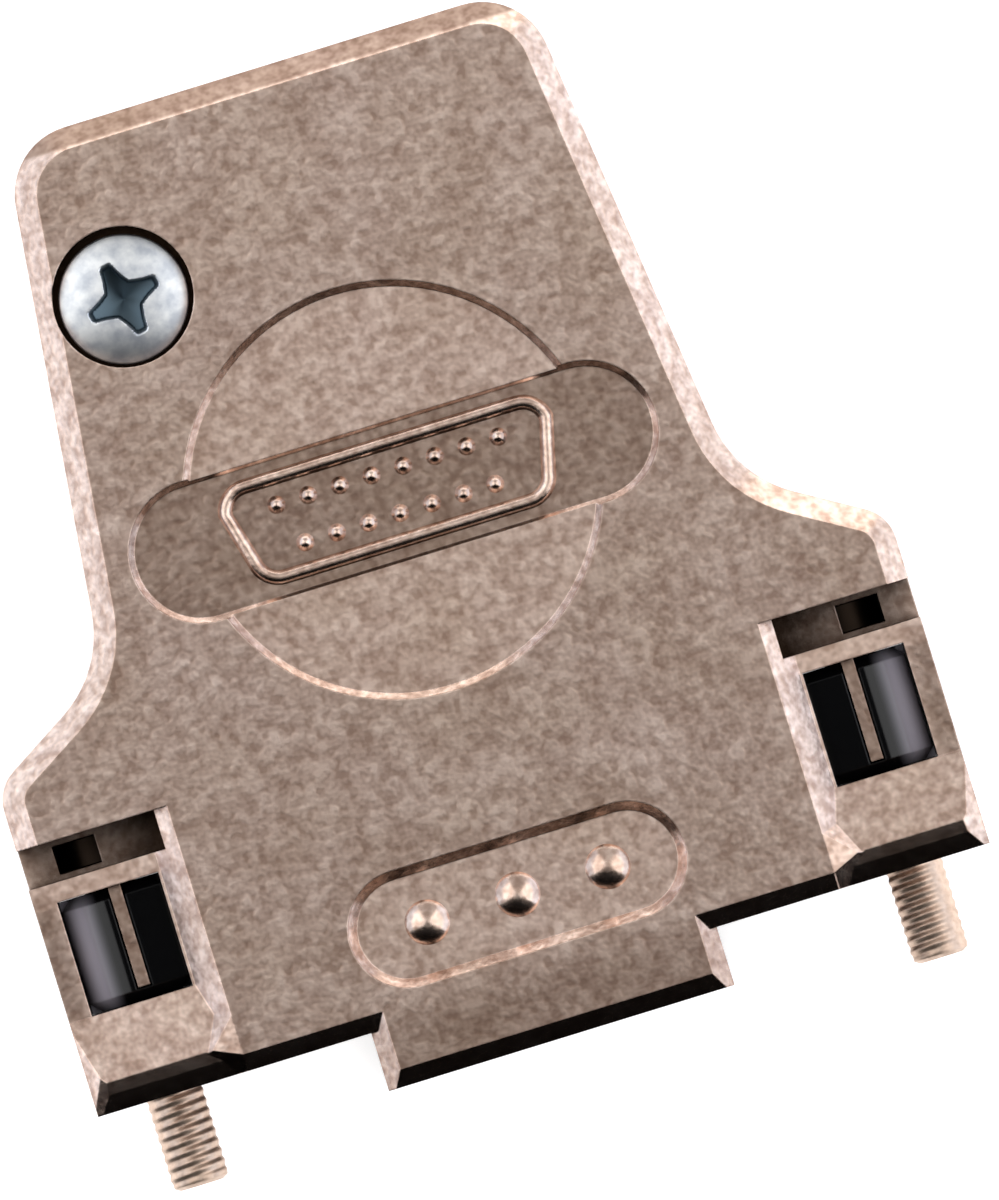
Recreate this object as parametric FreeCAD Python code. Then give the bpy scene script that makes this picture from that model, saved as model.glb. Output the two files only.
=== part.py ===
import FreeCAD, Part
import math
import os

# Metal hood for a 15-way D-sub cable connector, empty, with its two jackscrews.
# X runs across the hood, +Y from the mating face to the cable entry, +Z is the
# upper shell's side. The origin is midway between the jackscrews, on the mating
# face and on the parting plane. All sizes are in millimetres.

# Outer form of the hood, seen from above
screw_spacing = 33.3
corner_margin = 3.35
length = 41.0
shoulder_y = 14.7
neck_half_width = 14.2
neck_y = 18.2
rear_half_width = 11.6
shoulder_radius = 1.8
neck_radius = 5.2
rear_radius = 3.0

# Walls and edges of one half shell
wall = 1.5
rear_wall = 1.6
edge_bevel = 0.95
front_bevel = 0.75
front_bevel_drop = 0.42

# Tab over the connector's mouth
tab_half_width = 7.75
tab_reach = 2.6
tab_thickness = 1.6
tab_bevel = 0.75

# Seat of the connector's flange behind the front lip
lip_depth = 1.3
lip_overlap = 0.8
flange_slot = 1.2
flange_half_height = 6.3
side_block = 3.95

# Corner pocket, its window for the screw holder and the cross notch
pocket_depth = 1.1
pocket_skin = 0.8
pocket_margin = 3.4
pocket_front_depth = 0.3
pocket_turn_y = 2.5
pocket_turn = 40.0
pocket_foot_fall = 0.12
lead_fall = 0.27
lead_front_fall = 0.58
lead_turn = -60.0
corner_facet = 0.8
corner_turn = -20.0
corner_fall = 0.6
window_inner = 2.2
window_outer = 2.33
window_length = 5.1
front_plate = 1.7
bar_width = 0.85
notch_width = 1.75
notch_margin = 2.8
notch_skin = 0.75
notch_slot_edge = 0.1

# Key web in each window
web_offset = 0.2
web_width = 0.55
web_front_gap = 0.6
web_top_gap = 0.6
web_lift = 2.25

# Recesses and raised dots on the face
disc_y = 22.0
disc_radius = 9.0
disc_depth = 0.35
disc_slope = 0.28
bar_half_length = 11.75
bar_y = 21.9
bar_height = 6.2
bar_depth = 0.5
bar_slope = 0.25
oval_y = 3.85
oval_half_length = 7.5
oval_height = 5.1
oval_depth = 0.45
oval_slope = 0.4
dot_count = 3
dot_pitch = 4.05
dot_radius = 0.95
dot_height = 0.3
dot_top_radius = 0.45

# Assembly screws that close the hood, one from each side
closing_from_side = 2.96
closing_from_rear = 7.7
closing_thread_radius = 1.5
closing_length = 10.0
closing_head_radius = 2.62
closing_head_height = 1.9
closing_head_edge = 1.25
closing_head_flat = 1.3
closing_head_sink = 0.2
closing_bore_gap = 0.42
closing_boss_wall = 0.75
closing_tip_gap = 1.0
screw_clearance = 0.05

# Cable entry and the ribs that trap the strain-relief clamp
entry_radius = 5.0
clamp_from_closing = 8.8
clamp_length = 6.2
clamp_end_width = 1.25
clamp_head_room = 0.2
clamp_rib = 1.2
clamp_rib_gap = 0.3
clamp_rib_lift = 0.4
clamp_ledge_gap = 0.45
cable_radius = 3.5
clamp_screw_x = 6.4
clamp_thread_radius = 1.25
clamp_head_radius = 2.1
clamp_head_height = 1.5
nut_flats = 5.0
nut_height = 2.0

# Jackscrew, from its threaded tip to its slotted head
jack_reach = 4.15
jack_thread_radius = 1.3
jack_thread_end = 1.5
jack_neck_radius = 1.15
jack_taper = 0.3
jack_collar_radius = 2.0
jack_collar_gap = 0.15
jack_head_radius = 1.6
jack_head_end = 15.0
jack_slot_width = 0.8
jack_slot_depth = 1.2
jack_hole_clearance = 0.35
jack_head_clearance = 0.2
running_clearance = 0.05

# Plastic screw holder
holder_gap = 0.05
holder_sink = 0.5
holder_crown_radius = 1.9
holder_edge = 0.45
web_clearance = 0.07

# Sizes worked out from the ones above
screw_x = screw_spacing / 2
front_half_width = screw_x + corner_margin
half_height = flange_half_height + pocket_skin + pocket_depth
pocket_floor = half_height - pocket_depth
mouth_half_height = flange_half_height - lip_overlap
cavity_half_width = screw_x - side_block
cavity_roof = half_height - wall
slot_rear = lip_depth + flange_slot
window_front = slot_rear + front_plate
window_rear = window_front + window_length
notch_front = window_rear + bar_width
notch_rear = notch_front + notch_width
collar_front = notch_front + jack_collar_gap
collar_rear = notch_rear - jack_collar_gap
notch_floor = jack_collar_radius + jack_collar_gap + notch_skin
web_foot = jack_neck_radius + web_lift
closing_x = rear_half_width - closing_from_side
closing_y = length - closing_from_rear
closing_bore_radius = closing_head_radius + closing_bore_gap
closing_seat = half_height - closing_head_sink - closing_head_height
closing_tip = closing_seat - closing_length
clamp_y = closing_y - clamp_from_closing
clamp_rear = clamp_y + clamp_length / 2
clamp_front = clamp_y - clamp_length / 2
clamp_half_height = cavity_roof - clamp_head_room - clamp_head_height
clamp_ledge_x = clamp_screw_x + clamp_head_radius + clamp_ledge_gap
clamp_half_width = clamp_ledge_x + clamp_end_width
over = 1.0
touch = 1e-6


def vector(x, y, z):
    return FreeCAD.Vector(x, y, z)


def block(x0, x1, y0, y1, z0, z1):
    """A box between two opposite corners."""
    return Part.makeBox(x1 - x0, y1 - y0, z1 - z0, vector(x0, y0, z0))


def rod_z(radius, x, y, z0, z1):
    """A cylinder along Z."""
    return Part.makeCylinder(radius, z1 - z0, vector(x, y, z0), vector(0, 0, 1))


def rod_y(radius, x, z, y0, y1):
    """A cylinder along Y."""
    return Part.makeCylinder(radius, y1 - y0, vector(x, y0, z), vector(0, 1, 0))


def prism(points, direction):
    """A flat polygon pushed along a direction."""
    wire = Part.makePolygon(points + points[:1])
    return Part.Face(wire).extrude(direction)


def mirrored(shape):
    """The shape's image on the other side of the hood."""
    return shape.mirror(vector(0, 0, 0), vector(1, 0, 0))


def both_sides(shape):
    return [shape, mirrored(shape)]


def turned_over(shape):
    """The same casting turned half a turn about the hood's long axis."""
    copy = shape.copy()
    copy.rotate(vector(0, 0, 0), vector(0, 1, 0), 180)
    return copy


def rounded_outline(points, radii, z):
    """A closed face from a polygon whose corners are rounded by tangent arcs."""
    edges = []
    starts = []
    ends = []
    count = len(points)
    for i in range(count):
        corner = vector(points[i][0], points[i][1], z)
        before = vector(points[i - 1][0], points[i - 1][1], z) - corner
        after = vector(points[(i + 1) % count][0], points[(i + 1) % count][1], z) - corner
        before.normalize()
        after.normalize()
        half = before.getAngle(after) / 2
        reach = radii[i] / math.tan(half) if radii[i] > 0 else 0.0
        starts.append(corner + before * reach)
        ends.append(corner + after * reach)
        if radii[i] > 0:
            middle = before + after
            middle.normalize()
            centre = corner + middle * (radii[i] / math.sin(half))
            edges.append((starts[i], centre - middle * radii[i], ends[i]))
        else:
            edges.append(None)
    pieces = []
    for i in range(count):
        if edges[i]:
            pieces.append(Part.Arc(*edges[i]).toShape())
        following = starts[(i + 1) % count]
        if ends[i].distanceToPoint(following) > touch:
            pieces.append(Part.LineSegment(ends[i], following).toShape())
    return Part.Face(Part.Wire(pieces))


def stadium(half_length, height, y, z0, z1):
    """A slot shape along X with round ends, pushed along Z."""
    radius = height / 2
    straight = half_length - radius
    corners = []
    for x, side in ((straight, -radius), (straight, radius), (-straight, radius), (-straight, -radius)):
        corners.append(vector(x, y + side, z0))
    right = Part.Arc(corners[0], vector(half_length, y, z0), corners[1]).toShape()
    left = Part.Arc(corners[2], vector(-half_length, y, z0), corners[3]).toShape()
    top = Part.LineSegment(corners[1], corners[2]).toShape()
    bottom = Part.LineSegment(corners[3], corners[0]).toShape()
    return Part.Face(Part.Wire([right, top, left, bottom])).extrude(vector(0, 0, z1 - z0))


def hood_outline(inset, z):
    """The hood's outline, moved inwards by inset, as a face at height z."""
    right = [(front_half_width, 0.0), (front_half_width, shoulder_y)]
    right += [(neck_half_width, neck_y), (rear_half_width, length)]
    corners = right + [(-x, y) for x, y in reversed(right)]
    turns = [0.0, shoulder_radius - inset, neck_radius + inset, rear_radius - inset]
    return rounded_outline(moved_in(corners, inset), turns + turns[::-1], z)


def moved_in(corners, inset):
    """A closed polygon, its corners given anticlockwise, with every side moved inwards."""
    sides = []
    for i in range(len(corners)):
        x0, y0 = corners[i]
        x1, y1 = corners[(i + 1) % len(corners)]
        run = math.hypot(x1 - x0, y1 - y0)
        normal = ((y0 - y1) / run, (x1 - x0) / run)
        sides.append((normal, normal[0] * x0 + normal[1] * y0 + inset))
    moved = []
    for i in range(len(corners)):
        (a, b), c = sides[i - 1]
        (d, e), f = sides[i]
        scale = a * e - b * d
        moved.append(((c * e - b * f) / scale, (a * f - c * d) / scale))
    return moved


def hood_body():
    """One half of the hood as a full block, bevelled round its face."""
    body = hood_outline(0.0, 0.0).extrude(vector(0, 0, half_height))
    rim = []
    for edge in body.Edges:
        box = edge.BoundBox
        if box.ZMin > half_height - touch and box.YMax > touch:
            rim.append(edge)
    body = body.makeChamfer(edge_bevel, rim)
    body = body.cut(nose_cut(-front_half_width - over, front_half_width + over, 0.0, half_height))
    return body.fuse(tab())


def nose_cut(x0, x1, front, face):
    """Wedge that leaves the sloped front edge of a face, which looks to -Y."""
    foot = face - front_bevel_drop
    section = [
        vector(x0, front + front_bevel, face),
        vector(x0, front, foot),
        vector(x0, front - over, foot),
        vector(x0, front - over, face + over),
        vector(x0, front + front_bevel, face + over),
    ]
    return prism(section, vector(x1 - x0, 0, 0))


def tab():
    """The lip over the connector's mouth, bevelled on its front and sides."""
    plate = block(
        -tab_half_width, tab_half_width, -tab_reach, lip_depth,
        half_height - tab_thickness, half_height,
    )
    rim = []
    for edge in plate.Edges:
        box = edge.BoundBox
        if box.ZMin > half_height - touch and box.XLength < touch:
            rim.append(edge)
    plate = plate.makeChamfer(tab_bevel, rim)
    return plate.cut(nose_cut(-tab_half_width - over, tab_half_width + over, -tab_reach, half_height))


def cavity():
    """Space for the connector's back, the wires and the cable in one half."""
    inside = hood_outline(wall, -over).extrude(vector(0, 0, cavity_roof + over))
    keep = block(
        -cavity_half_width, cavity_half_width,
        slot_rear - over, length - rear_wall, -over, cavity_roof,
    )
    return inside.common(keep)


def above(x, y, z, bearing, fall):
    """Space over a plane through a point that falls towards a bearing, so much for each millimetre."""
    reach = 2 * length
    space = block(-reach, reach, -reach, reach, 0, reach)
    space.rotate(vector(0, 0, 0), vector(0, 1, 0), math.degrees(math.atan(fall)))
    space.rotate(vector(0, 0, 0), vector(0, 0, 1), bearing)
    space.translate(vector(x, y, z))
    return space


def pocket():
    """Sunk corner of the face round the screw holder, shallower towards the front."""
    inner = screw_x - pocket_margin
    outer = front_half_width + over
    front_floor = half_height - pocket_front_depth
    ramp = (pocket_depth - pocket_front_depth) / (window_front - lip_depth)
    level = block(inner, outer, -over, notch_rear, pocket_floor, half_height + over)
    level = level.common(above(inner, lip_depth, front_floor, 90, ramp))
    sunk = level.common(above(inner, 0, half_height, 0, 1.0))
    sunk = sunk.common(above(inner, pocket_turn_y, half_height, pocket_turn, 1.0))
    foot = level.common(above(inner, 0, half_height, 0, pocket_foot_fall))
    foot = foot.common(block(inner, outer, -over, pocket_turn_y, 0, half_height + over))
    front = block(inner, outer, -over, window_front, mouth_half_height, half_height + over)
    side = front.common(above(inner, front_bevel, half_height, lead_turn, 1.0))
    bend = front_floor - lead_fall * (lip_depth - front_bevel)
    lead = side.common(above(inner, lip_depth, front_floor, -90, lead_fall))
    nose = side.common(above(inner, front_bevel, bend, -90, lead_front_fall))
    corner_x = front_half_width - corner_facet
    corner = front.common(above(corner_x, lip_depth, front_floor, corner_turn, corner_fall))
    return sunk.fuse([foot, lead, nose, corner])


def screw_way():
    """Window, notch and holes along one jackscrew."""
    window = block(
        screw_x - window_inner, screw_x + window_outer,
        window_front, window_rear, -over, half_height,
    )
    notch = block(
        screw_x - notch_margin, front_half_width + over,
        notch_front, notch_rear, notch_floor, half_height + over,
    )
    slot = block(
        screw_x, screw_x + jack_collar_radius - notch_slot_edge,
        collar_front + notch_slot_edge, collar_rear - notch_slot_edge, -over, notch_floor + over,
    )
    neck_hole = jack_neck_radius + jack_hole_clearance
    neck = rod_y(neck_hole, screw_x, 0, slot_rear - over, notch_front + over / 2)
    collar = rod_y(
        jack_collar_radius + jack_collar_gap, screw_x, 0, notch_front, notch_rear,
    )
    head_hole = jack_head_radius + jack_head_clearance
    head = rod_y(head_hole, screw_x, 0, notch_rear - over / 2, neck_y + over)
    return window.fuse([notch, slot, neck, collar, head])


def key_web():
    """Thin upright web cast on the bar behind the window."""
    x = screw_x - web_offset
    half = web_width / 2
    front = window_front + web_front_gap
    top = pocket_floor - web_top_gap
    return block(x - half, x + half, front, window_rear + over / 4, web_foot, top)


def face_recesses():
    """Round recess, long bar across it and the oval near the tab."""
    disc = rod_z(disc_radius, 0, disc_y, half_height - disc_depth, half_height + over)
    bar = stadium(
        bar_half_length, bar_height, bar_y, half_height - bar_depth, half_height + over,
    )
    oval = stadium(
        oval_half_length, oval_height, oval_y, half_height - oval_depth, half_height + over,
    )
    disc = sloped_foot(disc, disc_slope)
    return disc.fuse([sloped_foot(bar, bar_slope), sloped_foot(oval, oval_slope)])


def sloped_foot(cutter, slope):
    """The same cutter with a sloped edge round its foot, as a recess's walls lean out."""
    foot = [edge for edge in cutter.Edges if edge.BoundBox.ZMax < half_height - touch]
    foot = [edge for edge in foot if edge.BoundBox.ZLength < touch]
    return cutter.makeChamfer(slope, foot)


def raised_dot(x):
    """One low dot that stands on the oval's floor, narrower at its top."""
    floor = half_height - oval_depth
    return Part.makeCone(dot_radius, dot_top_radius, dot_height, vector(x, oval_y, floor))


def closing_bosses():
    """Pillars for the closing screws: a counterbored one and a threaded one."""
    head_boss = rod_z(
        closing_bore_radius + closing_boss_wall, -closing_x, closing_y, 0, half_height - edge_bevel,
    )
    nut_boss = rod_z(
        closing_thread_radius + closing_boss_wall * 2, closing_x, closing_y, 0, cavity_roof + over / 2,
    )
    return [head_boss, nut_boss]


def closing_holes():
    """Counterbore with its clearance hole, and the blind hole of the other screw."""
    hole = closing_thread_radius + screw_clearance
    through = rod_z(hole, -closing_x, closing_y, -over, half_height + over)
    bore = rod_z(closing_bore_radius, -closing_x, closing_y, closing_seat, half_height + over)
    blind = rod_z(hole, closing_x, closing_y, -over, -closing_tip + closing_tip_gap)
    return [through, bore, blind]


def clamp_ribs():
    """Two cross ribs and two ledges that hold the clamp in one half."""
    parts = []
    reach = neck_half_width
    for y0 in (clamp_front - clamp_rib_gap - clamp_rib, clamp_rear + clamp_rib_gap):
        rib = block(-reach, reach, y0, y0 + clamp_rib, clamp_rib_lift, cavity_roof + over / 4)
        passage = block(-entry_radius, entry_radius, y0 - over, y0 + clamp_rib + over, 0, entry_radius)
        parts.append(rib.cut(passage))
    ledge = block(
        clamp_ledge_x, reach, clamp_front - clamp_rib_gap, clamp_rear + clamp_rib_gap,
        clamp_half_height, cavity_roof + over / 4,
    )
    return parts + both_sides(ledge)


def half_shell():
    """One casting. Both halves are the same and close face to face."""
    body = hood_body()
    limits = body.copy()
    body = body.cut(cavity())
    inner = Part.makeCompound(closing_bosses() + clamp_ribs())
    for piece in inner.Solids:
        body = body.fuse(piece.common(limits))
    body = body.cut(closing_holes())
    for side in both_sides(pocket()) + both_sides(screw_way()):
        body = body.cut(side)
    for web in both_sides(key_web()):
        body = body.fuse(web)
    slot = block(
        -front_half_width - over, front_half_width + over,
        lip_depth, slot_rear, -over, flange_half_height,
    )
    mouth = block(
        -front_half_width - over, front_half_width + over,
        -tab_reach - over, lip_depth + over / 4, -over, mouth_half_height,
    )
    entry = rod_y(entry_radius, 0, 0, length - rear_wall - over, length + over)
    body = body.cut([slot, mouth, entry, face_recesses()])
    for i in range(dot_count):
        body = body.fuse(raised_dot((i - (dot_count - 1) / 2) * dot_pitch))
    return body.removeSplitter()


def closing_screw():
    """Pan-head screw with its head at the upper face, turned about its axis."""
    top = half_height - closing_head_sink
    edge = closing_seat + closing_head_edge
    steps = [
        (0.0, top),
        (closing_head_flat, top),
        (closing_head_radius, edge),
        (closing_head_radius, closing_seat),
        (closing_thread_radius, closing_seat),
        (closing_thread_radius, closing_tip),
        (0.0, closing_tip),
    ]
    points = [vector(radius - closing_x, closing_y, z) for radius, z in steps]
    wire = Part.makePolygon(points + points[:1])
    axis = vector(-closing_x, closing_y, 0)
    return Part.Face(wire).revolve(axis, vector(0, 0, 1), 360)


def clamp_saddle():
    """Upper half of the clamp, hollowed for the cable and drilled for two screws."""
    saddle = block(
        -clamp_half_width, clamp_half_width, clamp_front, clamp_rear, 0, clamp_half_height,
    )
    cuts = [rod_y(cable_radius, 0, 0, clamp_front - over, clamp_rear + over)]
    hole = clamp_thread_radius + screw_clearance
    for x in (-clamp_screw_x, clamp_screw_x):
        cuts.append(rod_z(hole, x, clamp_y, -over, clamp_half_height + over))
    return saddle.cut(cuts)


def hexagon(flats, x, y, z0, z1):
    """A hexagonal prism with two of its corners along X."""
    corner = flats / math.sqrt(3)
    points = []
    for i in range(6):
        angle = math.radians(60 * i)
        points.append(vector(x + corner * math.cos(angle), y + corner * math.sin(angle), z0))
    return prism(points, vector(0, 0, z1 - z0))


def clamp_lower_saddle():
    """Lower half of the clamp, with a hexagonal pocket under each screw."""
    saddle = turned_over(clamp_saddle())
    cuts = []
    for x in (-clamp_screw_x, clamp_screw_x):
        cuts.append(hexagon(
            nut_flats + 2 * screw_clearance, x, clamp_y,
            -clamp_half_height - over, -clamp_half_height + nut_height,
        ))
    return saddle.cut(cuts)


def clamp_nut(x):
    nut = hexagon(nut_flats, x, clamp_y, -clamp_half_height, -clamp_half_height + nut_height)
    hole = clamp_thread_radius + screw_clearance
    return nut.cut(rod_z(hole, x, clamp_y, -clamp_half_height - over, over))


def clamp_screw(x):
    """Cheese-head screw that draws the two saddles together."""
    shank = rod_z(clamp_thread_radius, x, clamp_y, -clamp_half_height, clamp_half_height)
    head = rod_z(
        clamp_head_radius, x, clamp_y, clamp_half_height, clamp_half_height + clamp_head_height,
    )
    return shank.fuse(head).removeSplitter()


def jackscrew():
    """Turned screw on the right side, about its own axis along Y."""
    steps = [
        (0.0, -jack_reach),
        (jack_thread_radius - jack_taper, -jack_reach),
        (jack_thread_radius, -jack_reach + jack_taper),
        (jack_thread_radius, jack_thread_end),
        (jack_neck_radius, jack_thread_end),
        (jack_neck_radius, collar_front),
        (jack_collar_radius, collar_front),
        (jack_collar_radius, collar_rear),
        (jack_head_radius, collar_rear),
        (jack_head_radius, jack_head_end),
        (0.0, jack_head_end),
    ]
    points = [vector(screw_x + radius, y, 0) for radius, y in steps]
    wire = Part.makePolygon(points + points[:1])
    screw = Part.Face(wire).revolve(vector(screw_x, 0, 0), vector(0, 1, 0), 360)
    half = jack_slot_width / 2
    drive = block(
        screw_x - jack_head_radius - over, screw_x + jack_head_radius + over,
        jack_head_end - jack_slot_depth, jack_head_end + over, -half, half,
    )
    return screw.cut(drive)


def screw_holder():
    """Moulded block round the right jackscrew's neck, crowned in both windows."""
    top = pocket_floor - holder_sink
    x0 = screw_x - window_inner + holder_gap
    x1 = screw_x + window_outer - holder_gap
    y0 = window_front + holder_gap
    y1 = window_rear - holder_gap
    core_top = top - holder_crown_radius
    core = block(x0, x1, y0, y1, -core_top, core_top)
    crown = block(x0, x1, y0, y1, -top, top)
    long_edges = [edge for edge in crown.Edges if edge.BoundBox.YLength > touch]
    outer = [edge for edge in long_edges if edge.BoundBox.XMin > x1 - touch]
    crown = crown.makeFillet(holder_crown_radius, outer)
    rims = [edge for edge in crown.Edges if edge.BoundBox.YLength < touch]
    body = crown.makeChamfer(holder_edge, rims).fuse(core)
    web_x = screw_x - web_offset
    half = web_width / 2 + web_clearance
    front = window_front + web_front_gap
    foot = web_foot - web_clearance
    slit = block(web_x - half, web_x + half, front - web_clearance, y1 + over, foot, top + over)
    bore = rod_y(jack_neck_radius + running_clearance, screw_x, 0, y0 - over, y1 + over)
    under = slit.mirror(vector(0, 0, 0), vector(0, 0, 1))
    return body.cut([slit, under, bore])


def parts_of_the_hood():
    """Every piece by its name."""
    shell = half_shell()
    screw = closing_screw()
    jack = jackscrew()
    holder = screw_holder()
    return {
        "top_shell": shell,
        "bottom_shell": turned_over(shell),
        "top_closing_screw": screw,
        "bottom_closing_screw": turned_over(screw),
        "right_jackscrew": jack,
        "left_jackscrew": mirrored(jack),
        "right_screw_holder": holder,
        "left_screw_holder": mirrored(holder),
        "upper_clamp_saddle": clamp_saddle(),
        "lower_clamp_saddle": clamp_lower_saddle(),
        "right_clamp_screw": clamp_screw(clamp_screw_x),
        "left_clamp_screw": clamp_screw(-clamp_screw_x),
        "right_clamp_nut": clamp_nut(clamp_screw_x),
        "left_clamp_nut": clamp_nut(-clamp_screw_x),
    }


os.makedirs("parts", exist_ok=True)
for name, shape in parts_of_the_hood().items():
    solid = shape.Solids[0] if len(shape.Solids) == 1 else shape
    print(name, "solids", len(shape.Solids), "valid", shape.isValid(), "volume", round(shape.Volume, 2))
    solid.exportStep("parts/" + name + ".step")
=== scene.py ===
import math

import bmesh
import bpy
import numpy as np
from mathutils import Matrix, Vector


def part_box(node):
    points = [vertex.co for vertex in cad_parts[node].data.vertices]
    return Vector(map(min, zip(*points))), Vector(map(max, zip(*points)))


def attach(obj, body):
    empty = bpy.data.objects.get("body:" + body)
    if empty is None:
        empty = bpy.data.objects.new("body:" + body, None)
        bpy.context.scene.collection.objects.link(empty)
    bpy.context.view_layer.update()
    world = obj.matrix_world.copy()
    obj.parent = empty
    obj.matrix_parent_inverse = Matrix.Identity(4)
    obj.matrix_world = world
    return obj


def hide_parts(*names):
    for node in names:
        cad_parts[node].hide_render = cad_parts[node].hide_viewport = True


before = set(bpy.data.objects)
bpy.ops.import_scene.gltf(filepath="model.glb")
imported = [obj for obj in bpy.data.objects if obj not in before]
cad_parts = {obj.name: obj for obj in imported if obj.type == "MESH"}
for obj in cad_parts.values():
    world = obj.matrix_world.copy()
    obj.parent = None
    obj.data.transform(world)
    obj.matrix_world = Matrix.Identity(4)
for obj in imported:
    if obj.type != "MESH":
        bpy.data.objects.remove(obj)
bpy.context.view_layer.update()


# --- Half shells ---------------------------------------------------------------------------
# Two equal zinc die-castings, barrel-plated with satin nickel, that close face to face.
# The die leaves a fine orange-peel skin, and every outer edge is broken by the tumbling
# that comes before the plating.

def linear(colour):
    """An sRGB hex colour as linear RGBA: each channel is undone by the sRGB curve."""
    channels = [int(colour[i:i + 2], 16) / 255 for i in (1, 3, 5)]
    undone = [c / 12.92 if c <= 0.04045 else ((c + 0.055) / 1.055) ** 2.4 for c in channels]
    return (*undone, 1.0)


def feed(material, node, inputs):
    """Gives each input of a node a plain value, or a link from another node's output."""
    for socket, source in inputs.items():
        if isinstance(source, bpy.types.NodeSocket):
            material.node_tree.links.new(source, node.inputs[socket])
        else:
            node.inputs[socket].default_value = source


def add_node(material, kind, inputs={}, **settings):
    """Adds one node with its settings, values and links, and gives its outputs. A Mix node
    takes its share at 0 and its colours at 6 and 7, and gives the mixed colour at 2."""
    made = material.node_tree.nodes.new(kind)
    for setting, choice in settings.items():
        setattr(made, setting, choice)
    feed(material, made, inputs)
    return made.outputs


def new_finish(name, metallic, roughness):
    """A node material, its Principled shader and the output of the object's coordinates."""
    material = bpy.data.materials.new(name)
    material.use_nodes = True
    shader = material.node_tree.nodes["Principled BSDF"]
    feed(material, shader, {"Metallic": metallic, "Roughness": roughness})
    return material, shader, add_node(material, "ShaderNodeTexCoord")["Object"]


def zone(material, *steps):
    """A share from 0 to 1: the product of smooth steps. Each step is a coordinate with the
    value where it is still 0 and the value from which it is 1."""
    share = 1.0
    for coordinate, none, full in steps:
        step = add_node(
            material, "ShaderNodeMapRange",
            {"Value": coordinate, "From Min": none, "From Max": full},
            interpolation_type="SMOOTHSTEP",
        )["Result"]
        share = add_node(
            material, "ShaderNodeMath", {0: share, 1: step}, operation="MULTIPLY",
        )[0]
    return share


def dress(nodes, finish):
    """Gives a finish to pieces that stay as the frame has them."""
    for node in nodes:
        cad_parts[node].data.materials.clear()
        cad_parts[node].data.materials.append(finish)


# Satin nickel over die-cast zinc: a warm grey metal whose skin breaks the reflection into
# grains of about 0.4 mm, with blotches and cloudy patches some millimetres wide.
mm = 0.001
satin = 0.28
cast_nickel, shader, place = new_finish("satin_nickel_on_die_cast_zinc", 1.0, satin)
patterns = []
for size, detail in ((0.4 * mm, 1.0), (1.1 * mm, 1.0), (5.0 * mm, 3.0)):
    waves = add_node(
        cast_nickel, "ShaderNodeTexNoise",
        {"Vector": place, "Scale": 1 / size, "Detail": detail, "Roughness": 0.6},
    )["Fac"]
    patterns.append(add_node(
        cast_nickel, "ShaderNodeMapRange", {"Value": waves, "From Min": 0.3, "From Max": 0.7},
    )["Result"])
grain, blotches, clouds = patterns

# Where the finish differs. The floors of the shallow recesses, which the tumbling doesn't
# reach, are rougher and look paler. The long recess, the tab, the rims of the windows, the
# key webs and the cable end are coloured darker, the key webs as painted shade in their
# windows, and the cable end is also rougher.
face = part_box("top_shell")[1].z
across, along, up = add_node(cast_nickel, "ShaderNodeSeparateXYZ", {"Vector": place})
normal = add_node(cast_nickel, "ShaderNodeNewGeometry")["Normal"]
facing = add_node(cast_nickel, "ShaderNodeSeparateXYZ", {"Vector": normal})[2]
side, height, levelness = (
    add_node(cast_nickel, "ShaderNodeMath", {0: part}, operation="ABSOLUTE")[0]
    for part in (across, up, facing)
)
shallow_floor = (
    (height, face - 0.19 * mm, face - 0.21 * mm), (height, face - 1.31 * mm, face - 1.29 * mm),
    (levelness, 0.929, 0.931),
)
recess_floor = zone(cast_nickel, *shallow_floor)
long_recess = zone(
    cast_nickel, *shallow_floor,
    (height, face - 0.42 * mm, face - 0.44 * mm), (side, 11.76 * mm, 11.74 * mm),
    (along, 18.79 * mm, 18.81 * mm), (along, 25.01 * mm, 24.99 * mm),
)
cross_bar = zone(
    cast_nickel, *shallow_floor, (side, 13.8 * mm, 14.6 * mm),
    (along, 9.0 * mm, 9.2 * mm), (along, 10.3 * mm, 10.1 * mm),
)
tab = zone(cast_nickel, (along, 1.2 * mm, -0.6 * mm))
window_rim = zone(
    cast_nickel, (side, 18.8 * mm, 19.5 * mm),
    (along, 3.0 * mm, 5.5 * mm), (along, 10.5 * mm, 9.0 * mm),
)
# Painted shade: the key webs, down in their windows, are coloured darker.
key_web = zone(
    cast_nickel, (side, 15.8 * mm, 16.0 * mm), (side, 17.3 * mm, 17.1 * mm),
    (along, 4.1 * mm, 4.3 * mm), (along, 9.4 * mm, 9.2 * mm),
)
cable_end = zone(cast_nickel, (along, 40.0 * mm, 40.25 * mm))
sloped = zone(cast_nickel, (levelness, 0.99, 0.97))
darker_zones = tab
for share in (window_rim, key_web):
    darker_zones = add_node(cast_nickel, "ShaderNodeMath", {0: darker_zones, 1: share}, operation="MAXIMUM")[0]
smooth = add_node(cast_nickel, "ShaderNodeMath", {0: long_recess, 1: darker_zones}, operation="MAXIMUM")[0]
dull = add_node(
    cast_nickel, "ShaderNodeMath", {0: recess_floor, 1: smooth},
    operation="SUBTRACT", use_clamp=True,
)[0]
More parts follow.
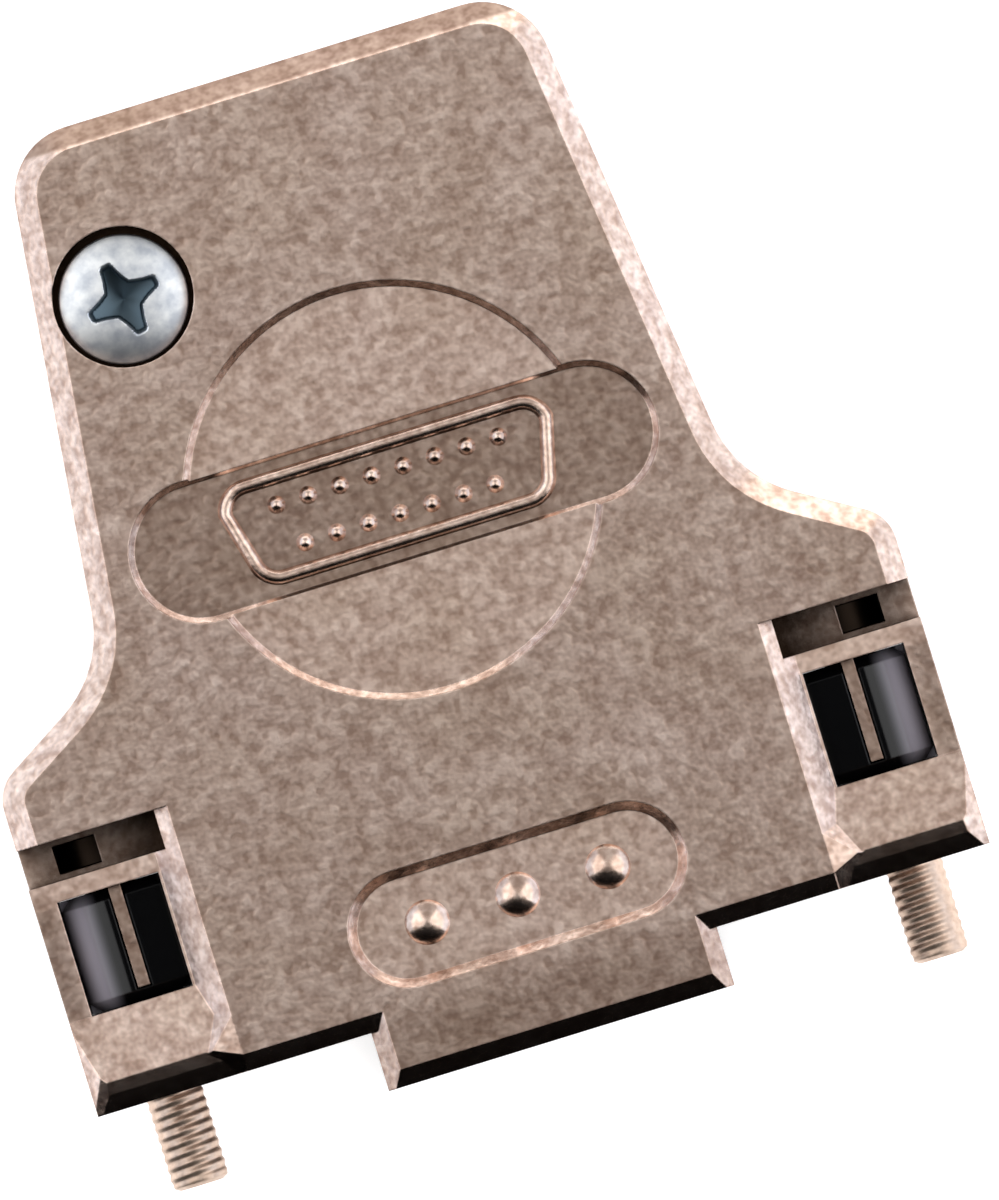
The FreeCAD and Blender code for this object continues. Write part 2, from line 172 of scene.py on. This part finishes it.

# The colour: patches of two warm greys, shaded by the patterns and the zones, and a painted
# brown shade in deep corners, where the ambient occlusion finds them closed in.
skin = add_node(
    cast_nickel, "ShaderNodeMix", {0: clouds, 6: linear("#ffe6d8"), 7: linear("#f4dac8")},
    data_type="RGBA",
)[2]
# Tints: the long recess, the tab, the window rims, the key webs and the cable end are coloured
# darker; on the key webs this is painted shade.
shades = [
    (grain, "#cdc4bf", "#ffffff"), (blotches, "#e4dedb", "#ffffff"),
    (long_recess, "#ffffff", "#dad6d2"), (darker_zones, "#ffffff", "#dcd8d5"),
    (cable_end, "#ffffff", "#bdb6b0"),
]
for share, none, full in shades:
    shade = add_node(
        cast_nickel, "ShaderNodeMix", {0: share, 6: linear(none), 7: linear(full)},
        data_type="RGBA",
    )[2]
    skin = add_node(
        cast_nickel, "ShaderNodeMix", {0: 1.0, 6: skin, 7: shade},
        data_type="RGBA", blend_type="MULTIPLY",
    )[2]
# Painted shade: where the ambient occlusion finds a corner closed in, the colour is mixed towards
# dark brown.
openness = add_node(
    cast_nickel, "ShaderNodeAmbientOcclusion", {"Distance": 2.5 * mm}, samples=8,
)["AO"]
openness = add_node(
    cast_nickel, "ShaderNodeMapRange", {"Value": openness, "From Min": 0.3, "From Max": 0.75},
)["Result"]
skin = add_node(
    cast_nickel, "ShaderNodeMix", {0: openness, 6: linear("#2e2118"), 7: skin},
    data_type="RGBA",
)[2]

# The gloss: slopes are a little smoother than level faces, because the tumbling polishes them.
roughness = satin
for share, change in ((dull, 0.035), (sloped, -0.05), (cable_end, 0.2), (cross_bar, 0.08)):
    roughness = add_node(
        cast_nickel, "ShaderNodeMath", {0: share, 1: change, 2: roughness},
        operation="MULTIPLY_ADD",
    )[0]

# The relief: edges rounded to 0.08 mm, and an orange peel 0.02 mm high.
soft_edge = add_node(cast_nickel, "ShaderNodeBevel", {"Radius": 0.08 * mm}, samples=4)["Normal"]
relief = add_node(
    cast_nickel, "ShaderNodeMath", {0: blotches, 1: 0.4, 2: grain}, operation="MULTIPLY_ADD",
)[0]
orange_peel = add_node(
    cast_nickel, "ShaderNodeBump",
    {"Strength": 0.28, "Distance": 0.02 * mm, "Height": relief, "Normal": soft_edge},
)["Normal"]
feed(cast_nickel, shader, {"Base Color": skin, "Roughness": roughness, "Normal": orange_peel})
dress(("top_shell", "bottom_shell"), cast_nickel)


# --- Raised sign on each half shell --------------------------------------------------------
# The outline of a 15-way connector with its two rows of contacts, cast raised on the floor of
# the long recess of each half, so that the fitter sees which size the hood is for. Three dots
# near the tab are cast raised as well.

def surface(name, grids, finish, recess_shade=None):
    """Joins point grids into one closed mesh. A grid is rows by columns by XYZ in millimetres,
    with a word that says whether its columns close on themselves, as round a screw."""
    points, quads, start = [], [], 0
    for grid, closed in grids:
        rows, columns = grid.shape[:2]
        number = start + np.arange(rows * columns).reshape(rows, columns)
        if closed:
            number = np.concatenate([number, number[:, :1]], axis=1)
        corners = [number[:-1, :-1], number[:-1, 1:], number[1:, 1:], number[1:, :-1]]
        quads.append(np.stack(corners, -1).reshape(-1, 4))
        points.append(grid.reshape(-1, 3) * mm)
        start += rows * columns
    mesh = bpy.data.meshes.new(name)
    mesh.from_pydata(np.concatenate(points).tolist(), [], np.concatenate(quads).tolist())
    # The attribute marks where a painted shade goes.
    if recess_shade is not None:
        mesh.attributes.new("recess_shade", "FLOAT", "POINT").data.foreach_set("value", recess_shade)
    shape = bmesh.new()
    shape.from_mesh(mesh)
    bmesh.ops.remove_doubles(shape, verts=shape.verts, dist=0.0002 * mm)
    bmesh.ops.recalc_face_normals(shape, faces=shape.faces)
    shape.to_mesh(mesh)
    shape.free()
    mesh.materials.append(finish)
    mesh.shade_smooth()
    mesh.set_sharp_from_angle(angle=math.radians(40))
    piece = bpy.data.objects.new(name, mesh)
    bpy.context.scene.collection.objects.link(piece)
    return piece


recess_depth = 0.5
sign_floor = face / mm - recess_depth
sign_centre = 21.9

# The connector's outline: a flat-topped ridge carried round four corner arcs. Both ends of its
# profile stand a little under the floor.
ridge_height = 0.34
corner_radius = 1.1
corner_centres = np.array([(6.1, 1.0), (-6.1, 1.0), (-5.5, -1.0), (5.5, -1.0)])
corner_bearings = [(8, 90), (90, 172), (188, 270), (270, 352)]
arc_steps = 9
ridge_across = np.array([-0.34, -0.2, -0.12, 0.0, 0.12, 0.2, 0.34])
ridge_rise = np.array([-0.12, 0.82, 0.97, 1.0, 0.97, 0.82, -0.12]) * ridge_height
arcs = [np.linspace(first, last, arc_steps) for first, last in corner_bearings]
bearings = np.radians(np.concatenate(arcs))
centres = np.repeat(corner_centres, arc_steps, axis=0)
reach = corner_radius + ridge_across[:, None]
outline = np.stack([
    centres[:, 0] + reach * np.cos(bearings),
    sign_centre + centres[:, 1] + reach * np.sin(bearings),
    sign_floor + ridge_rise[:, None] + 0 * bearings,
], -1)

# Each contact: a low dome that falls from its middle as a cosine, to a little under the floor.
contact_pitch = 1.42
contact_radius = 0.44
contact_height = 0.3
contact_fall = 1.75
contact_rows = [(np.arange(8) - 3.5, 0.95), (np.arange(7) - 3.0, -0.95)]
spokes = np.linspace(0, 2 * np.pi, 16, endpoint=False)
steps = np.linspace(0, 1, 6)[:, None]
domes = []
for places, row in contact_rows:
    for x in places * contact_pitch:
        domes.append(np.stack([
            x + contact_radius * steps * np.cos(spokes),
            sign_centre + row + contact_radius * steps * np.sin(spokes),
            sign_floor + contact_height * np.cos(contact_fall * steps) + 0 * spokes,
        ], -1))

# Three larger dots near the tab: caps of a sphere on the oval's floor.
dot_pitch = 4.05
dot_centre = 3.85
dot_radius = 0.98
dot_height = 0.42
oval_depth = 0.45
oval_floor = face / mm - oval_depth
ball_radius = (dot_radius ** 2 + dot_height ** 2) / (2 * dot_height)
spokes = np.linspace(0, 2 * np.pi, 48, endpoint=False)
steps = np.linspace(0, 1.06 * dot_radius, 14)[:, None]
for x in (-dot_pitch, 0.0, dot_pitch):
    domes.append(np.stack([
        x + steps * np.cos(spokes),
        dot_centre + steps * np.sin(spokes),
        oval_floor + dot_height - ball_radius + np.sqrt(ball_radius ** 2 - steps ** 2) + 0 * spokes,
    ], -1))

upright, upside_down = (1, 1, 1), (-1, 1, -1)
for name, over in (("raised_sign_top", upright), ("raised_sign_bottom", upside_down)):
    sign = surface(name, [(grid * over, True) for grid in (outline, *domes)], cast_nickel)
    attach(sign, "hood")


# --- Screw holders -------------------------------------------------------------------------
# Two injection-moulded blocks of glossy black plastic. Each carries one jackscrew by its neck
# and shows in the windows of both halves, with the casting's key web in its slit.

# Glossy black plastic: deep black with a clear reflection, slightly rippled by the mould, and
# a painted grey highlight along the rounded outer edge.
black_plastic, shader, place = new_finish("moulded_gloss_black_plastic", 0.0, 0.14)
across = add_node(black_plastic, "ShaderNodeSeparateXYZ", {"Vector": place})[0]
side = add_node(black_plastic, "ShaderNodeMath", {0: across}, operation="ABSOLUTE")[0]
# Painted highlight: the outer edge is coloured pale grey.
painted_edge_highlight = zone(black_plastic, (side, 17.3 * mm, 18.7 * mm))
black = add_node(
    black_plastic, "ShaderNodeMix", {0: painted_edge_highlight, 6: linear("#040405"), 7: linear("#b4afbb")},
    data_type="RGBA",
)[2]
ripple = add_node(
    black_plastic, "ShaderNodeTexNoise", {"Vector": place, "Scale": 1 / (0.9 * mm), "Detail": 2.0},
)["Fac"]
soft_edge = add_node(black_plastic, "ShaderNodeBevel", {"Radius": 0.1 * mm}, samples=4)["Normal"]
flow = add_node(
    black_plastic, "ShaderNodeBump",
    {"Strength": 0.2, "Distance": 0.02 * mm, "Height": ripple, "Normal": soft_edge},
)["Normal"]
feed(black_plastic, shader, {"IOR": 1.42, "Base Color": black, "Normal": flow})
dress(("right_screw_holder", "left_screw_holder"), black_plastic)


# --- Jackscrews ----------------------------------------------------------------------------
# Two turned steel screws, plated with nickel, that draw the connector onto its socket. Each
# has a rolled M2.6 thread in front, a thin neck in the holder, a collar and a slotted head.

# Plated steel from an automatic lathe: bright and warm, with faint marks round the screw, and
# a painted dark brown shade where it runs inside the hood.
turned_nickel, shader, place = new_finish("nickel_plated_turned_steel", 1.0, 0.44)
marks = add_node(
    turned_nickel, "ShaderNodeTexNoise", {"Vector": place, "Scale": 1 / (0.3 * mm), "Detail": 2.0},
)["Fac"]
tone = add_node(
    turned_nickel, "ShaderNodeMix", {0: marks, 6: linear("#b59883"), 7: linear("#efd6c3")},
    data_type="RGBA",
)[2]
along = add_node(turned_nickel, "ShaderNodeSeparateXYZ", {"Vector": place})[1]
# Painted shade: from 2 mm behind the front face on, the screw is coloured dark brown.
painted_inner_shade = zone(turned_nickel, (along, 1.99 * mm, 2.01 * mm))
tone = add_node(
    turned_nickel, "ShaderNodeMix", {0: painted_inner_shade, 6: tone, 7: linear("#2a221c")},
    data_type="RGBA",
)[2]
feed(turned_nickel, shader, {"Base Color": tone})

jackscrew_x = 16.65
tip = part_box("right_jackscrew")[0].y / mm
tip_chamfer = 0.15
thread_pitch = 0.45
thread_depth = 0.055
thread_root = 1.2
thread_end = 1.5
runout = 0.3
neck_radius = 1.15
collar_start, collar_end, collar_radius = 10.3, 11.75, 2.0
head_end, head_radius, head_top_radius = 15.0, 1.6, 1.3
slot_half_width = 0.4
slot_floor = 13.8
edge_break = 0.15
slot_share = np.linspace(-1, 1, 7)
side_share = np.linspace(0, 1, 21)
profile = np.array([
    (0.0, tip), (0.95, tip), (thread_root, tip + tip_chamfer),
    *[(thread_root, y) for y in np.arange(tip + 0.2, thread_end, thread_pitch / 16)],
    (neck_radius, thread_end), (neck_radius, collar_start),
    (collar_radius - edge_break, collar_start), (collar_radius, collar_start + edge_break),
    (collar_radius, collar_end - edge_break), (collar_radius - edge_break, collar_end),
    (head_radius, collar_end), (head_radius, slot_floor), (head_radius, 14.7),
    (head_top_radius, head_end),
])


def thread_rib(turns):
    """How far a rolled thread stands out of its root, from 0 to 1, after a number of turns:
    a triangle wave, cut flat at the crest and at the root."""
    flat = 0.15
    wave = np.abs(2 * (turns % 1) - 1)
    return np.clip((1 - flat - wave) / (1 - 2 * flat), 0, 1)


def slot_edge(radius):
    """The angle from the slot's middle line at which its wall meets a circle."""
    return np.arcsin(slot_half_width / np.maximum(radius, slot_half_width * 1.5))


def jackscrew_side(x):
    """A profile turned about Y. The thread rises out of it along a helix and fades out at both
    ends, and the columns inside the slot stop at its floor."""
    radius, y = profile[:, :1], profile[:, 1:]
    edge = slot_edge(radius)
    half = np.concatenate([edge * slot_share, edge + (np.pi - 2 * edge) * side_share], axis=1)
    angle = np.concatenate([half, half + np.pi], axis=1)
    in_slot = np.tile(np.arange(half.shape[1]) < len(slot_share), 2)
    radius = np.where(in_slot & (y > slot_floor), head_radius, radius + 0 * angle)
    y = np.where(in_slot & (y > slot_floor), slot_floor, y + 0 * angle)
    from_end = np.minimum(y - tip - tip_chamfer, thread_end - y)
    depth = thread_depth * np.clip(from_end / runout, 0, 1)
    radius = radius + depth * thread_rib(y / thread_pitch + angle / (2 * np.pi))
    return np.stack([x + radius * np.cos(angle), y, radius * np.sin(angle)], -1)


def slotted_end(x):
    """Strips across the head's end: from one rim to the slot, down its wall, along its floor
    and up again to the other rim."""
    rim = slot_edge(head_top_radius) + (np.pi - 2 * slot_edge(head_top_radius)) * side_share
    share = np.cos(rim) / np.cos(rim[0])
    level = 0 * rim
    upper = []
    for part in np.linspace(1, 0, 4):
        z = slot_half_width + (head_top_radius * np.sin(rim) - slot_half_width) * part
        upper.append(np.stack([x + head_top_radius * np.cos(rim), head_end + level, z], -1))
    half_length = math.sqrt(head_radius ** 2 - slot_half_width ** 2)
    for y in (profile[-2, 1], slot_floor):
        upper.append(np.stack([x + half_length * share, y + level, slot_half_width + level], -1))
    floor = []
    for turn in (slot_edge(head_radius) * slot_share)[-2:0:-1]:
        z = head_radius * math.sin(turn)
        floor.append(np.stack([
            x + head_radius * math.cos(turn) * share, slot_floor + level, z + level,
        ], -1))
    lower = [row * (1, 1, -1) for row in upper[::-1]]
    return np.array(upper + floor + lower)


for name, x in (("right_jackscrew", jackscrew_x), ("left_jackscrew", -jackscrew_x)):
    grids = [(jackscrew_side(x), True), (slotted_end(x), False)]
    screw = surface(name + "_turned", grids, turned_nickel)
    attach(screw, name)
    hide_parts(name)


# --- Closing screws and clamp screws -------------------------------------------------------
# Pan-head machine screws with a cross recess, of steel with bright zinc plating. One closing
# screw enters from each face, and the two clamp screws draw the saddles onto the cable.

# Bright zinc with blue passivation: cool, almost white, with soft cloudy stains, and a painted
# dark shade in the cross recess.
bright_zinc, shader, place = new_finish("blue_passivated_zinc_plate", 1.0, 0.4)
stains = add_node(
    bright_zinc, "ShaderNodeTexNoise", {"Vector": place, "Scale": 1 / (0.8 * mm), "Detail": 3.0},
)["Fac"]
stains = add_node(
    bright_zinc, "ShaderNodeMapRange", {"Value": stains, "From Min": 0.35, "From Max": 0.65},
)["Result"]
plate = add_node(
    bright_zinc, "ShaderNodeMix", {0: stains, 6: linear("#bfc4cc"), 7: linear("#eff1f2")},
    data_type="RGBA",
)[2]
# Painted shade: the cross recess, marked by a point attribute, is coloured dark slate.
recess_shade = add_node(bright_zinc, "ShaderNodeAttribute", attribute_name="recess_shade")["Fac"]
plate = add_node(
    bright_zinc, "ShaderNodeMix", {0: recess_shade, 6: plate, 7: linear("#586770")},
    data_type="RGBA",
)[2]
feed(bright_zinc, shader, {"Base Color": plate})

head_columns, head_rings = 144, 76
rim_width, rim_drop, under_edge = 0.05, 0.04, 0.08

# The cross: an arm's widths and taper as shares of its length, its walls in millimetres, and
# its depth at the tip as a share of that in the middle.
arm_tip, arm_gain, arm_flare, arm_taper = 0.17, 0.22, 1.6, 0.7
side_wall, end_wall = 0.14, 0.25
tip_depth = 0.3

# The shank: the thread's height as a share of its pitch, a blunt point, and how far the shank
# reaches up into the head.
shank_columns = 40
thread_height = 0.61
point_length, point_chamfer = 0.3, 0.4
overlap = 0.3


def cross_screw(name, x, y, turn, over, seat, tip, head, shank, recess):
    """A screw turned about Z. The head's top falls from its middle as the cube of the radius.
    The cross sinks where a point lies inside one of four arms, whose half width grows from the
    tip inwards as a power, and its walls are smooth steps. The thread is a cut triangle wave
    along a helix."""
    radius, edge, top = head
    thread_radius, pitch = shank
    arm, deep = recess
    angle = np.linspace(0, 2 * np.pi, head_columns, endpoint=False)
    rings = np.concatenate([np.linspace(radius - rim_width, 0.04, head_rings), [0.0]])[:, None]
    crown = top - (top - edge - rim_drop) * (rings / radius) ** 3
    from_arm = (angle - math.radians(turn) + np.pi / 4) % (np.pi / 2) - np.pi / 4
    along = rings * np.cos(from_arm)
    aside = np.abs(rings * np.sin(from_arm))
    inwards = np.clip((arm - along) / (arm_taper * arm), 0, 1)
    half_width = arm * (arm_tip + arm_gain * inwards ** arm_flare)
    wall = np.clip((half_width - aside) / side_wall, 0, 1) * np.clip((arm - along) / end_wall, 0, 1)
    inside = wall * wall * (3 - 2 * wall)
    sunk = inside * deep * (tip_depth + (1 - tip_depth) * (1 - np.clip(rings / arm, 0, 1)))
    below = np.array([
        (thread_radius - 0.1, seat), (radius - under_edge, seat), (radius, seat + under_edge),
        (radius, edge),
    ])
    ring_radius = np.concatenate([below[:, :1], rings]) + 0 * angle
    height = np.concatenate([below[:, 1:] + 0 * angle, crown - sunk])
    head_grid = np.stack([
        x + ring_radius * np.cos(angle), y + ring_radius * np.sin(angle), height,
    ], -1)

    turns = np.linspace(0, 2 * np.pi, shank_columns, endpoint=False)
    level = np.arange(tip + point_length, seat, pitch / 12)[:, None]
    rib = thread_rib(level / pitch - turns / (2 * np.pi))
    rib = thread_radius - thread_height * pitch * (1 - rib)
    rib = np.minimum(rib, thread_radius - point_chamfer + (level - tip - point_length))
    end = np.full((1, shank_columns), thread_radius - 0.5)
    rib = np.concatenate([0 * end, end, rib, rib[-1:]])
    level = np.concatenate([[[tip], [tip]], level, [[seat + overlap]]]) + 0 * turns
    shank_grid = np.stack([x + rib * np.cos(turns), y + rib * np.sin(turns), level], -1)

    # Painted shade mask: the share of each head point that lies inside the cross recess.
    recess_shade = np.concatenate([
        np.zeros(below.shape[0] * head_columns), (inside + 0 * angle).ravel(),
        np.zeros(level.size),
    ])
    grids = [(head_grid * over, True), (shank_grid * over, True)]
    return surface(name, grids, bright_zinc, recess_shade)


closing = {
    "seat": 6.1, "tip": -3.9, "head": (2.8, 7.55, 7.98), "shank": (1.5, 0.5), "recess": (1.7, 1.4),
}
clamping = {
    "seat": 5.0, "tip": -5.0, "head": (2.1, 6.05, 6.5), "shank": (1.25, 0.45), "recess": (1.3, 1.0),
}
screws = [
    ("top_closing_screw", -8.64, 33.2, 13.4, upright, closing),
    ("bottom_closing_screw", -8.64, 33.2, 40.0, upside_down, closing),
    ("right_clamp_screw", 6.4, 24.5, 25.0, upright, clamping),
    ("left_clamp_screw", -6.4, 24.5, 70.0, upright, clamping),
]
for name, x, y, turn, over, sizes in screws:
    screw = cross_screw(name + "_plated", x, y, turn, over, **sizes)
    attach(screw, "hood")
    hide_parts(name)


# --- Cable clamp ---------------------------------------------------------------------------
# Two steel saddles, machined from bar and left bright, with a pair of plated hexagon nuts in
# the pockets of the lower one. The ribs of both half shells trap the clamp.

# Machined steel: a neutral grey with a cutter's fine parallel marks along the saddle.
bright_steel, shader, place = new_finish("milled_bright_steel", 1.0, 0.34)
stretch = add_node(
    bright_steel, "ShaderNodeMapping", {"Vector": place, "Scale": (0.06, 1.0, 1.0)},
)["Vector"]
cuts = add_node(
    bright_steel, "ShaderNodeTexNoise",
    {"Vector": stretch, "Scale": 1 / (0.25 * mm), "Detail": 3.0},
)["Fac"]
steel = add_node(
    bright_steel, "ShaderNodeMix", {0: cuts, 6: linear("#8e8c88"), 7: linear("#c2bfb9")},
    data_type="RGBA",
)[2]
soft_edge = add_node(bright_steel, "ShaderNodeBevel", {"Radius": 0.1 * mm}, samples=4)["Normal"]
grooves = add_node(
    bright_steel, "ShaderNodeBump",
    {"Strength": 0.4, "Distance": 0.02 * mm, "Height": cuts, "Normal": soft_edge},
)["Normal"]
feed(bright_steel, shader, {"Base Color": steel, "Normal": grooves})
dress(("upper_clamp_saddle", "lower_clamp_saddle"), bright_steel)
dress(("right_clamp_nut", "left_clamp_nut"), bright_zinc)


# --- Table, studio and camera --------------------------------------------------------------
# A white table in a white room, with a softbox on each side, a pale reflector behind, a black
# flag in front and a dark ceiling round the long lens that looks straight down on the hood.

# White laminate, lifted to pure white where the camera, a reflection or glass sees it.
table_half = 3.0
table_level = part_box("bottom_shell")[0].z
table = bpy.data.meshes.new("table")
table.from_pydata([
    (-table_half, -table_half, table_level), (table_half, -table_half, table_level),
    (table_half, table_half, table_level), (-table_half, table_half, table_level),
], [], [(0, 1, 2, 3)])
table_top = bpy.data.objects.new("table", table)
bpy.context.scene.collection.objects.link(table_top)
white_laminate, shader, _ = new_finish("white_laminate", 0.0, 0.5)
ray = add_node(white_laminate, "ShaderNodeLightPath")
seen = ray["Is Camera Ray"]
for kind in ("Is Glossy Ray", "Is Transmission Ray"):
    seen = add_node(
        white_laminate, "ShaderNodeMath", {0: seen, 1: ray[kind]}, operation="MAXIMUM",
    )[0]
glow = add_node(white_laminate, "ShaderNodeMath", {0: seen, 1: 0.6}, operation="MULTIPLY")[0]
feed(white_laminate, shader, {
    "Base Color": linear("#f7f7f7"), "Emission Color": linear("#ffffff"),
    "Emission Strength": glow,
})
table.materials.append(white_laminate)

world = bpy.data.worlds.new("white_studio")
world.use_nodes = True
feed(world, world.node_tree.nodes["Background"], {"Color": (1, 1, 1, 1), "Strength": 1.0})
bpy.context.scene.world = world


def studio_card(name, grid, closed, colour, strength, top_strength=None):
    """A card that the camera doesn't see. It shines evenly, or fades with its height; a black
    one shows in reflections only and takes no light from the table."""
    finish, shader, place = new_finish(name, 0.0, 1.0)
    if top_strength is not None:
        level = add_node(finish, "ShaderNodeSeparateXYZ", {"Vector": place})[2]
        strength = add_node(finish, "ShaderNodeMapRange", {
            "Value": level, "From Min": float(grid[..., 2].min()),
            "From Max": float(grid[..., 2].max()), "To Min": strength, "To Max": top_strength,
        })["Result"]
    feed(finish, shader, {
        "Base Color": linear("#000000"), "Specular IOR Level": 0.0,
        "Emission Color": linear(colour), "Emission Strength": strength,
    })
    card = surface(name, [(grid / mm, closed)], finish)
    card.visible_camera = False
    card.visible_diffuse = card.visible_shadow = colour != "#000000"


def bent_card(bearing, span, profile):
    """A sheet bent round the table, from its distances and heights."""
    angle = np.radians(bearing + span * np.linspace(-0.5, 0.5, 17))
    distance, level = np.array(profile)[:, :1], np.array(profile)[:, 1:]
    return np.stack([distance * np.cos(angle), distance * np.sin(angle), level + 0 * angle], -1)


set_turn = -17.1
low_side = [(0.5, table_level), (0.5, 0.31)]
high_side = [(0.5, 0.31), (0.42, 0.75), (0.17, 1.15)]
rear_low = [(0.5, table_level), (0.5, 0.13)]
rear_high = [(0.5, 0.13), *high_side]
flag_level = table_level + 0.5 * mm
flag_side = [(0.03, flag_level), (0.45, flag_level), (0.45, 0.6), (0.16, 1.15)]
lens_side = [(0.0, 1.2), (0.17, 1.2)]
right, left, rear, front = (set_turn + bearing for bearing in (15, 165, 90, -90))
studio_card("right_softbox", bent_card(right, 80, low_side), False, "#e2eeff", 1.55)
studio_card("right_diffuser", bent_card(right, 80, high_side), False, "#ffffff", 1.85, 1.65)
studio_card("left_softbox", bent_card(left, 80, low_side), False, "#e2eeff", 1.2)
studio_card("left_diffuser", bent_card(left, 80, high_side), False, "#ffffff", 1.75, 1.65)
studio_card("rear_strip", bent_card(rear, 66, rear_low), False, "#ffffff", 2.2)
studio_card("rear_reflector", bent_card(rear, 66, rear_high), False, "#ffffff", 0.58)
studio_card("black_flag", bent_card(front, 124, flag_side), False, "#000000", 0.0)
studio_card("dark_ceiling", bent_card(0, 360, lens_side)[:, :-1], True, "#000000", 0.0)

pixels_per_mm = 23.24
image_height = 1200
camera_distance = 2.0
aim = Vector((0.002969, 0.016136, 0.0))
lens = bpy.data.cameras.new("long_lens")
lens.sensor_width = 36
lens.lens = lens.sensor_width * camera_distance / (image_height / pixels_per_mm * mm)
lens.clip_end = 10
camera = bpy.data.objects.new("camera", lens)
bpy.context.scene.collection.objects.link(camera)
turn = Matrix.Rotation(math.radians(set_turn), 4, "Z")
camera.matrix_world = Matrix.Translation(aim + Vector((0, 0, camera_distance))) @ turn
bpy.context.scene.camera = camera
bpy.context.scene.view_settings.view_transform = "Standard"
